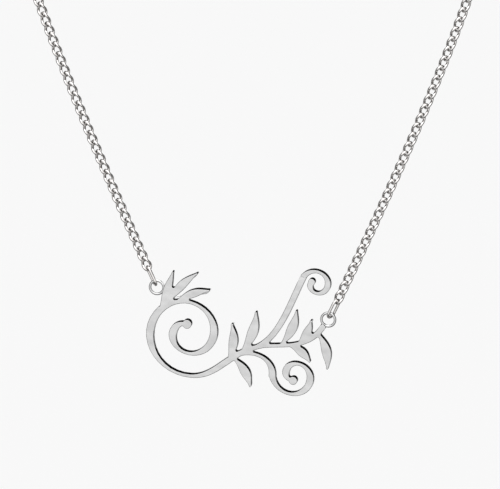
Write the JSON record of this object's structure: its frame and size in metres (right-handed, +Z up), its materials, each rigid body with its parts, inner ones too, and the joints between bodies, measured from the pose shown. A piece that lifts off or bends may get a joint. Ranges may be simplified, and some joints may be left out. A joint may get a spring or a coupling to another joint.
{
  "type": "nameplate necklace",
  "caption": "Pierced silver scroll plate with soldered eye rings, hung by oval links from a curb chain that closes behind the neck with a spring ring.",
  "frame": {"origin": "midway along the fastening behind the neck, on the chain's line, where the loop hangs on the nape", "axes": "+Z up, +X to the viewer's right, the front of the plate faces -Y"},
  "size_m": [0.1094, 0.1001, 0.1237],
  "materials": {
    "plate_silver": "polished silver with a satin front",
    "chain_silver": "polished silver"
  },
  "bodies": {
    "chain": {"chain_left": "chain_silver", "chain_right": "chain_silver", "left_oval_link": "chain_silver", "right_oval_link": "chain_silver", "spring_ring_clasp": "chain_silver", "clasp_jump_ring": "chain_silver", "end_jump_ring": "chain_silver"},
    "plate": {"name_plate": "plate_silver"}
  },
  "joints": [
    {"name": "plate_swing", "type": "hinge", "parent": "chain", "child": "plate", "pos_m": [-0.00129, -0.098, -0.10493], "axis": [0.9902, 0, -0.1396], "range_deg": [-45, 15]}
  ]
}
